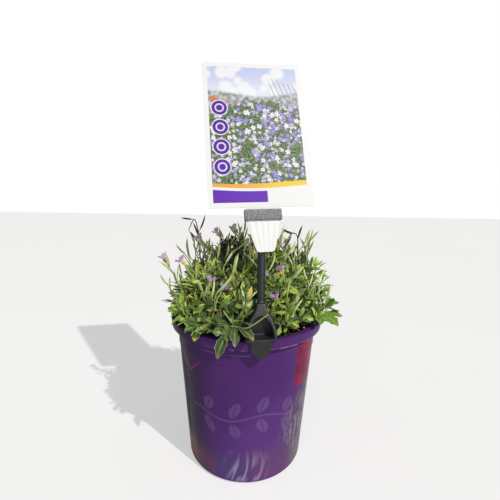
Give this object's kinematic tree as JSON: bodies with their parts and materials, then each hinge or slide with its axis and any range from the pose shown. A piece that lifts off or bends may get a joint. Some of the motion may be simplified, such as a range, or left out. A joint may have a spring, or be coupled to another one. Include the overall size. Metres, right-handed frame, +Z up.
{
  "type": "potted aubrieta",
  "caption": "Aubrieta in a round plastic nursery pot: a mound of toothed leaf rosettes, seed pods and small lilac blooms, with a rim clip that holds a leaning picture label.",
  "frame": {"origin": "centre of the pot's foot, on the surface that the pot stands on", "axes": "+Z up, front (the label's printed side) towards -Y, +X to the right seen from the front"},
  "size_m": [0.1657, 0.155, 0.3601],
  "materials": {
    "pot_plastic": "gloss",
    "potting_soil": "matte",
    "clip_plastic": "satin",
    "label_plastic": "satin",
    "leaf": "matte",
    "petal": "matte"
  },
  "bodies": {
    "root": {"pot": "pot_plastic", "soil": "potting_soil", "label_holder": "clip_plastic", "label_card": "label_plastic", "back_left": "leaf", "back_middle": "leaf", "back_right": "leaf", "front_rosette": "leaf", "leafy_stem_01": "leaf", "leafy_stem_02": "leaf", "leafy_stem_03": "leaf", "leafy_stem_04": "leaf", "leafy_stem_05": "leaf", "leafy_stem_06": "leaf", "leafy_stem_07": "leaf", "leafy_stem_08": "leaf", "leafy_stem_09": "leaf", "leafy_stem_10": "leaf", "leafy_stem_11": "leaf", "leafy_stem_12": "leaf", "leafy_stem_13": "leaf", "leafy_stem_14": "leaf", "leafy_stem_15": "leaf", "leafy_stem_16": "leaf", "leafy_stem_17": "leaf", "leafy_stem_18": "leaf", "leafy_stem_19": "leaf", "leafy_stem_20": "leaf", "leafy_stem_21": "leaf", "leafy_stem_22": "leaf", "leafy_stem_23": "leaf", "leafy_stem_24": "leaf", "leafy_stem_25": "leaf", "leafy_stem_26": "leaf", "leafy_stem_27": "leaf", "leafy_stem_28": "leaf", "leafy_stem_29": "leaf", "leafy_stem_30": "leaf", "left_cluster": "leaf", "left_front": "leaf", "left_high": "leaf", "left_middle": "leaf", "low_right": "leaf", "right_arch": "leaf", "right_front": "leaf", "right_pods": "leaf", "right_rosette": "leaf", "tall_stalk": "leaf", "bloom_back_left_1": "petal", "bloom_back_middle_1": "petal", "bloom_back_middle_2": "petal", "bloom_left_cluster_1": "petal", "bloom_left_front_1": "petal", "bloom_left_front_2": "petal", "bloom_left_high_1": "petal", "bloom_left_middle_1": "petal", "bloom_low_right_1": "petal", "bloom_right_arch_1": "petal", "bloom_right_front_1": "petal", "bloom_right_front_2": "petal"}
  },
  "joints": []
}
